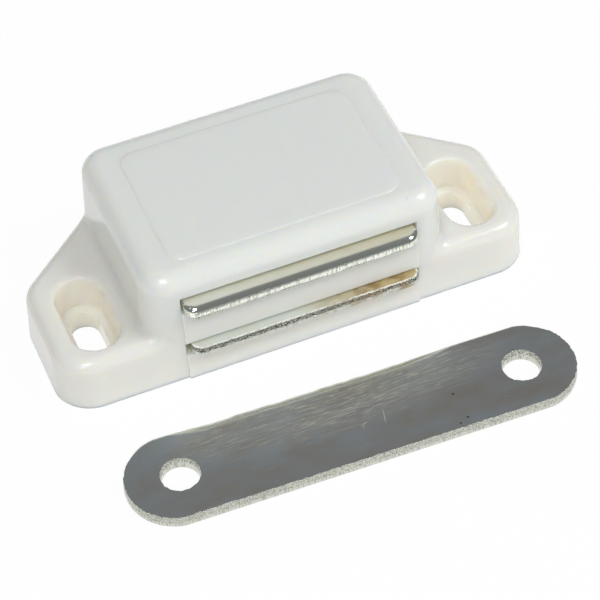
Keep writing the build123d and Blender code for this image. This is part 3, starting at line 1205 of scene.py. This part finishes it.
@dataclass
class Stamping:
    """A piece of sheet steel with lofted, sheared edges.

    Attributes:
        name: The piece's name.
        node: The CAD node that it replaces.
        body: The body that it rides on.
        slot: Name of a slot for its material; not used.
        outline: Anticlockwise points of its edge.
        bottom: Height of its underside.
        section: Cross-section of its edge.
        rolled_top: From normals, 1 where the edge is rolled over at its top and 0 at its bottom.
        burred: From normals, where the torn edge carries loose grains.
        trail: What lays the grains.
        roll_share: From points and normals, how strong the roll-over is, 0 to 1.
        thickness: The sheet's thickness.
        seed: Seed of everything random on it.
        holes: Clockwise points of each hole.
        hole_section: Cross-section of the holes' edges.
    """

    name: str
    node: str
    body: str
    slot: str
    outline: Array
    bottom: float
    section: ShearedEdge
    rolled_top: Callable[[Array], Array]
    burred: Callable[[Array], Array]
    trail: BurrTrail
    roll_share: Callable[[Array, Array], Array]
    thickness: float = 1.5
    seed: int = 1
    holes: list[Array] = field(default_factory=list)
    hole_section: ShearedEdge | None = None

    def wall(
        self, path: Array, section: ShearedEdge, rolled_top: Array, rng: np.random.Generator
    ) -> tuple[Array, list[Array]]:
        """Rings of one sheared wall, from the top face to the bottom face.

        Args:
            path: The wall's outline, metal on its left.
            section: The wall's cross-section.
            rolled_top: At each point, 1 where the wall is rolled over at its top and 0 at its bottom.
            rng: Seeded random source.

        Returns:
            Corners, rows by points by 3, and how worked, burnished and torn each one is, and how much
            painted highlight it carries.
        """
        normal = outward(path)
        inset, depth, shades = section.profile(self.thickness)
        rows, count = len(inset), len(path)
        roll = self.roll_share(path, normal)
        in_roll = (depth < section.roll_end)[:, None]
        inset = inset[:, None] * np.where(in_roll, roll, 1)
        depth = depth[:, None] * np.where(in_roll, roll, 1)
        drag = ripple(rng, count, rows, grain=1.3, drag=8.0)
        crumble = ripple(rng, count, rows, grain=0.9, drag=0.8)
        torn = shades[2][:, None]
        rough = section.roughness * (
            section.drag_marks * drag + torn * (crumble + section.torn_drag_marks * drag)
        )
        # the roll-over stays smooth, and the rows on the flat sheet follow the rim
        rough *= np.clip((depth - section.smooth_depth) / section.smooth_depth, 0, 1)
        over = len(section.over_rim)
        rough[-over:] = rough[-over - 1]
        deep = inset + np.maximum(rough, -inset)
        # the line where the tearing starts wanders up and down
        wander = section.wander * ripple(rng, count, 1, grain=5.0, drag=0)
        shift = np.exp(-((depth - section.burnished * self.thickness) / section.wander_band) ** 2)
        shift *= np.clip((self.thickness - depth) / 0.05, 0, 1)
        down = depth + wander * shift
        from_top = rolled_top * down + (1 - rolled_top) * (self.thickness - down)[::-1]
        deep = rolled_top * deep + (1 - rolled_top) * deep[::-1]
        flat = path[None] - normal[None] * deep[:, :, None]
        height = self.bottom + self.thickness - from_top
        corners = np.concatenate([flat, height[:, :, None]], axis=2)
        turned = [rolled_top * shade[:, None] + (1 - rolled_top) * shade[::-1, None] for shade in shades]
        return corners, turned

    def build(self, material: bpy.types.Material) -> bpy.types.Object:
        """Lofts the walls, fills the two faces and dresses the piece.

        Args:
            material: The plated steel.

        Returns:
            The stamping's mesh object.
        """
        rng = np.random.default_rng(self.seed)
        mesh = bmesh.new()
        # the last layer carries the painted highlight over the rim
        layers = [mesh.verts.layers.float.new(label) for label in ("worked", "burnished", "torn", "painted_glint")]
        burr = mesh.edges.layers.int.new("burr")
        rims: tuple[list, list] = ([], [])
        for number, path in enumerate([self.outline, *self.holes]):
            section = self.section if number == 0 else self.hole_section
            rolled_top = self.rolled_top(outward(path)) * float(number == 0)
            rings, shades = self.wall(path, section, rolled_top, rng)
            rows = []
            for ring, *levels in zip(rings, *shades):
                row = [mesh.verts.new(Vector(point) * MM) for point in ring]
                for layer, level in zip(layers, levels):
                    for vert, value in zip(row, level):
                        vert[layer] = value
                rows.append(row)
            count = len(path)
            for upper, lower in zip(rows, rows[1:]):
                for i in range(count):
                    j = (i + 1) % count
                    mesh.faces.new((upper[i], lower[i], lower[j], upper[j]))
            for rim, row in zip(rims, (rows[0], rows[-1])):
                rim += [mesh.edges.get((row[i - 1], row[i])) for i in range(count)]
            if number == 0:
                carries = self.burred(outward(path))
                over = len(section.over_rim)
                for i in np.flatnonzero(carries):
                    torn_row = rows[-over - 1] if rolled_top[i] > 0.5 else rows[over]
                    mesh.edges.get((torn_row[i - 1], torn_row[i]))[burr] = 1
        for rim, up in zip(rims, (1, -1)):
            filled = bmesh.ops.triangle_fill(mesh, edges=rim, use_beauty=True, normal=(0, 0, up))
            for face in (part for part in filled["geom"] if isinstance(part, bmesh.types.BMFace)):
                face.normal_update()
                if face.normal.z * up < 0:
                    face.normal_flip()
        creased = [edge for edge in mesh.edges if edge.calc_face_angle(0) > SHARP_ANGLE]
        for face in mesh.faces:
            face.smooth = True
        for edge in [*rims[0], *rims[1], *creased]:
            edge.smooth = False
        data = bpy.data.meshes.new(self.name)
        mesh.to_mesh(data)
        mesh.free()
        data.materials.append(material)
        piece = bpy.data.objects.new(self.name, data)
        bpy.context.scene.collection.objects.link(piece)
        self.trail.lay(piece, material, self.seed)
        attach(piece, self.body)
        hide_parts(self.node)
        return piece


@dataclass
class MagnetPack:
    """The magnet and the two pole plates whose tongues stand out of the mouth."""

    # the tongues reach further to the left than to the right, and the upper one furthest
    tongue_right: float = 13.98
    upper_tongue_left: float = 14.5
    lower_tongue_left: float = 14.2
    tongue_radius: float = 1.5
    shoulder_crop: float = 0.8
    tongue_length: float = 3.47
    side_roll: float = 0.35
    front_facing: float = 0.85
    fine: float = 0.1
    coarse: float = 1.5

    def outline(self, node: str, left: float) -> Array:
        """The stamping's outline, sized and placed by its CAD node.

        Args:
            node: The plate's CAD node.
            left: How far the tongue reaches to the left of the plate's middle.

        Returns:
            Anticlockwise points.
        """
        low, high = (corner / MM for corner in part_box(node))
        middle = (low.x + high.x) / 2
        front, back = low.y, high.y
        right, shoulder = self.tongue_right, (high.x - low.x) / 2
        step = front + self.tongue_length
        radius, crop = self.tongue_radius, self.shoulder_crop
        runs = [
            line_points((-left, step), (-left, front + radius), self.fine),
            arc_points((radius - left, front + radius), radius, 180, 270, self.fine / 2),
            line_points((radius - left, front), (right - radius, front), self.fine),
            arc_points((right - radius, front + radius), radius, 270, 360, self.fine / 2),
            line_points((right, front + radius), (right, step), self.fine),
            line_points((right, step), (shoulder - crop, step), self.coarse),
            line_points((shoulder - crop, step), (shoulder, step + crop), self.coarse),
            line_points((shoulder, step + crop), (shoulder, back - crop), self.coarse),
            line_points((shoulder, back - crop), (shoulder - crop, back), self.coarse),
            line_points((shoulder - crop, back), (crop - shoulder, back), self.coarse),
            line_points((crop - shoulder, back), (-shoulder, back - crop), self.coarse),
            line_points((-shoulder, back - crop), (-shoulder, step + crop), self.coarse),
            line_points((-shoulder, step + crop), (crop - shoulder, step), self.coarse),
            line_points((crop - shoulder, step), (-left, step), self.coarse),
        ]
        return closed_path(runs) + (middle, 0.0)

    def roll_share(self, path: Array, normal: Array) -> Array:
        """How strong the roll-over is: slighter along the sides than across the front.

        Args:
            path: Points of the outline, which make no difference here.
            normal: Its outward normals.

        Returns:
            Strength of the roll-over at each point.
        """
        front = np.clip(-1.4 * normal[:, 1], 0, 1)
        return self.side_roll + (1 - self.side_roll) * front

    def build(self) -> list[bpy.types.Object]:
        """Builds both plates and dresses the magnet.

        Returns:
            The new pieces.
        """
        pieces = []
        upper = ZincPlate("bright_zinc_upper", "#eceee4", "#ddd6b6", rolled="#c4cac3")
        lower = ZincPlate(
            "bright_zinc_lower",
            "#e0e7e1",
            "#cdbb8c",
            burnished="#c9ccc2",
            # painted reflection: the torn grain is mostly near-black, partly the torn steel's own grain and
            # partly standing in for the dark room that it mirrors
            torn="#c3c4b9",
            shade="#3c3e39",
            drag_depth=0.15,
            crumb_depth=1.0,
            stain_from=-2.0,
            stain_to=11.0,
            stain_depth=0.9,
            rust="#9c7d50",
            rust_from=0.0,
        )
        plates = (
            ("upper_pole_plate", self.upper_tongue_left, Edge.ROLLED_TOP, ShearedEdge(), upper),
            (
                "lower_pole_plate",
                self.lower_tongue_left,
                Edge.ROLLED_BOTTOM,
                # the lower plate gets a strip with a painted highlight just over its rim
                ShearedEdge(burnished=0.66, wall_lean=1.0, lean_back=0.1, painted_glint_width=0.24),
                lower,
            ),
        )
        for seed, (node, left, edge, section, finish) in enumerate(plates, start=3):
            stamping = Stamping(
                name=f"{node}_stamping",
                node=node,
                body="magnet_pack",
                slot="plated_steel",
                outline=self.outline(node, left),
                bottom=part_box(node)[0].z / MM,
                section=section,
                rolled_top=lambda normal, edge=edge: np.full(len(normal), float(edge is Edge.ROLLED_TOP)),
                # only the front carries loose grains: further round they would foul the slot
                burred=lambda normal: normal[:, 1] < -self.front_facing,
                trail=BurrTrail(),
                roll_share=self.roll_share,
                seed=seed,
            )
            pieces.append(stamping.build(finish.material()))
        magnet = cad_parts["magnet"]
        magnet.data.materials.clear()
        magnet.data.materials.append(SinteredFerrite().material())
        return pieces


@dataclass
class StrikerPlate:
    """The loose plate for the door: a slit strip with punched round ends and two holes."""

    half_length: float = 26.8
    half_width: float = 5.83
    end_radius: float = 5.9
    hole_spacing: float = 40.9
    hole_radius: float = 2.13
    turn: float = -1.8
    slit_from: float = -20.0
    slit_to: float = 14.0
    slit_fades: tuple[float, float] = (4.0, 6.0)
    punched_roll: float = 0.2
    fine: float = 0.1

    def slit_back(self, path: Array, normal: Array) -> Array:
        """How strong the roll-over is: full only where the strip was slit along its back.

        Args:
            path: Points of the outline.
            normal: Its outward normals.

        Returns:
            Strength of the roll-over at each point.
        """
        straight = np.clip((normal[:, 1] - 0.985) / 0.01, 0, 1)
        from_left = np.clip((path[:, 0] - self.slit_from) / self.slit_fades[0], 0, 1)
        from_right = np.clip((self.slit_to - path[:, 0]) / self.slit_fades[1], 0, 1)
        return self.punched_roll + (1 - self.punched_roll) * straight * from_left * from_right

    def build(self) -> bpy.types.Object:
        """Builds the plate where its CAD node lies.

        Returns:
            The striker's mesh object.
        """
        low, high = (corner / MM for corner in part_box("striker_plate"))
        middle = (low + high) / 2
        straight = self.half_length - self.end_radius
        corner = straight + math.sqrt(self.end_radius**2 - self.half_width**2)
        swing = math.degrees(math.asin(self.half_width / self.end_radius))
        outline = closed_path(
            [
                line_points((-corner, -self.half_width), (corner, -self.half_width), self.fine),
                arc_points((straight, 0), self.end_radius, -swing, swing, self.fine),
                line_points((corner, self.half_width), (-corner, self.half_width), self.fine),
                arc_points((-straight, 0), self.end_radius, 180 - swing, 180 + swing, self.fine),
            ]
        )
        turn = math.radians(self.turn)
        spin = np.array([[math.cos(turn), math.sin(turn)], [-math.sin(turn), math.cos(turn)]])
        place = np.array([middle.x, middle.y])
        hole = arc_points((0, 0), self.hole_radius, 360, 0, self.fine)[:-1]
        holes = [(hole + (side * self.hole_spacing / 2, 0)) @ spin + place for side in (-1, 1)]
        stamping = Stamping(
            name="striker_stamping",
            node="striker_plate",
            body="catch_housing",
            slot="striker_steel",
            outline=outline @ spin + place,
            bottom=low.z,
            section=ShearedEdge(
                roll_bend=2.2, roll_angle=33.0, upright=0.03, burnished=0.34, lean_back=0.06, roughness=0.05
            ),
            # the back is rolled over at its top and the front at its bottom
            rolled_top=lambda normal: np.clip((normal[:, 1] - 0.55) / 0.35, 0, 1),
            burred=lambda normal: normal[:, 1] < -0.2,
            trail=BurrTrail(grain=0.09, spacing=0.4),
            roll_share=self.slit_back,
            thickness=high.z - low.z,
            seed=11,
            holes=holes,
            hole_section=ShearedEdge(
                roll_bend=0.25, roll_angle=45.0, burnished=0.5, lean_back=0.1, roughness=0.05
            ),
        )
        finish = ZincPlate(
            "dull_zinc_striker",
            "#bac2c6",
            "#b5b2ac",
            rolled="#dddfd9",
            burnished="#d0d2c8",
            torn="#d6d8cd",
            film=0.0,
            face_roughness=0.3,
            rolled_roughness=0.2,
            stain_depth=0.0,
            mottle=1.0,
            mottle_size=3.0,
            # painted sheen round the middle, with real scratches in it
            scratches_and_sheen="#f2f1e6",
            shade="#7d8076",
            drag_depth=0.5,
            crumb_depth=0.45,
            nicks=(
                (3.07, -15.5, 2.0, 0.14, 77, "#f4f5f0"),
                (0.55, -15.6, 0.9, 0.14, 20, "#f4f5f0"),
                (0.35, -16.0, 0.6, 0.14, 75, "#e4e5e0"),
                (11.38, -15.74, 0.35, 0.3, 0, "#66645f"),
                (11.49, -19.44, 0.35, 0.25, 0, "#54524e"),
                (10.42, -19.9, 0.3, 0.25, 0, "#5c5a55"),
            ),
        )
        return stamping.build(finish.material())


# ---------------------------------------------------------------- studio


@dataclass
class Studio:
    """A pale floor, soft lights and the camera."""

    aim: tuple[float, float, float] = (1.65, 5.77, 0.0)
    distance: float = 281.8
    azimuth: float = 20.179
    elevation: float = 47.887
    roll: float = -3.188
    focal: float = 144.08
    room: float = 0.3
    table_half: float = 900.0
    table_glow: float = 0.96
    lit_point: tuple[float, float, float] = (0.0, 5.0, 5.0)

    def camera(self) -> None:
        """Places the camera on its line of sight and makes it the scene's."""
        azimuth, elevation, roll = (math.radians(a) for a in (self.azimuth, self.elevation, self.roll))
        level = math.cos(elevation)
        forward = Vector(
            (math.sin(azimuth) * level, math.cos(azimuth) * level, -math.sin(elevation))
        )
        right = Vector((math.cos(azimuth), -math.sin(azimuth), 0))
        up = right.cross(forward)
        turned_right = math.cos(roll) * right + math.sin(roll) * up
        turned_up = -math.sin(roll) * right + math.cos(roll) * up
        data = bpy.data.cameras.new("camera")
        data.sensor_width = 36.0
        data.lens = self.focal
        data.clip_start = 0.01
        data.clip_end = 10.0
        camera = bpy.data.objects.new("camera", data)
        axes = Matrix((turned_right, turned_up, -forward)).transposed().to_4x4()
        axes.translation = (Vector(self.aim) - self.distance * forward) * MM
        camera.matrix_world = axes
        bpy.context.scene.collection.objects.link(camera)
        bpy.context.scene.camera = camera

    def lamp(
        self,
        name: str,
        place: tuple[float, float, float],
        size: tuple[float, float],
        watts: float,
        tint: str,
        shape: str = "RECTANGLE",
    ) -> None:
        """Adds one soft box that looks at the part.

        Args:
            name: The lamp's name.
            place: Where it stands, in millimetres.
            size: Its width and height, in millimetres.
            watts: Its power.
            tint: Its colour, in sRGB hex.
            shape: Its outline.
        """
        data = bpy.data.lights.new(name, "AREA")
        data.shape = shape
        data.size, data.size_y = (side * MM for side in size)
        data.energy = watts
        data.color = linear(tint)[:3]
        lamp = bpy.data.objects.new(name, data)
        lamp.location = Vector(place) * MM
        line = Vector(self.lit_point) - Vector(place)
        lamp.rotation_euler = line.to_track_quat("-Z", "Y").to_euler()
        bpy.context.scene.collection.objects.link(lamp)

    def floor(self) -> None:
        """Adds the pale floor, a light table that is white where no shadow falls."""
        material, tree, _ = new_material("light_table")
        paint = add_node(tree, "ShaderNodeBsdfDiffuse", {"Color": linear("#fdfdfc")})
        glow = add_node(tree, "ShaderNodeEmission", {"Color": (1.0, 1.0, 1.0, 1.0), "Strength": 1.0})
        rays = add_node(tree, "ShaderNodeLightPath").outputs
        seen = rays["Is Camera Ray"]
        for kind in ("Is Glossy Ray", "Is Transmission Ray"):
            seen = add_node(tree, "ShaderNodeMath", {0: seen, 1: rays[kind]}, operation="MAXIMUM").outputs[0]
        share = add_node(tree, "ShaderNodeMath", {0: seen, 1: self.table_glow}, operation="MULTIPLY")
        mix = add_node(
            tree, "ShaderNodeMixShader", {0: share.outputs[0], 1: paint.outputs[0], 2: glow.outputs[0]}
        )
        finish_material(tree, mix)
        side = self.table_half
        corners = np.array([(-side, -side, 0), (side, -side, 0), (side, side, 0), (-side, side, 0)])
        mesh_object("table", corners, [(0, 1, 2, 3)], material)

    def sky(self) -> None:
        """Sets the plain grey room above the table."""
        world = bpy.data.worlds.new("room")
        bpy.context.scene.world = world
        world.use_nodes = True
        tree = world.node_tree
        tree.nodes.clear()
        glow = add_node(
            tree, "ShaderNodeBackground", {"Color": (1.0, 1.0, 1.0, 1.0), "Strength": self.room}
        )
        add_node(tree, "ShaderNodeOutputWorld", {"Surface": glow.outputs[0]})

    def build(self) -> None:
        """Sets up everything that isn't the part."""
        bpy.context.scene.view_settings.view_transform = "Standard"
        # light finds its way into the white recesses only by many bounces
        bpy.context.scene.cycles.diffuse_bounces = 10
        self.camera()
        self.floor()
        self.sky()
        self.lamp("left_softbox", (-130, -225, 425), (200, 200), 0.76, "#fbfdff")
        self.lamp("right_softbox", (280, -150, 385), (200, 200), 0.84, "#fbfdff")
        self.lamp("front_strip", (112, -428, 60), (300, 22), 0.06, "#fbfdff")
        self.lamp("left_spot", (-240, -286, 252), (66, 66), 0.1, "#fbfdff", "ELLIPSE")


def main() -> None:
    """Builds the studio and every piece, in order."""
    logging.basicConfig(level=logging.INFO)
    Studio().build()
    plastic = MouldedPolyamide().material()
    pieces = [Housing().build(plastic), *MagnetPack().build(), StrikerPlate().build()]
    for piece in pieces:
        piece.data.calc_loop_triangles()
        log.info("%s: %d triangles", piece.name, len(piece.data.loop_triangles))


if __name__ == "__main__":
    main()
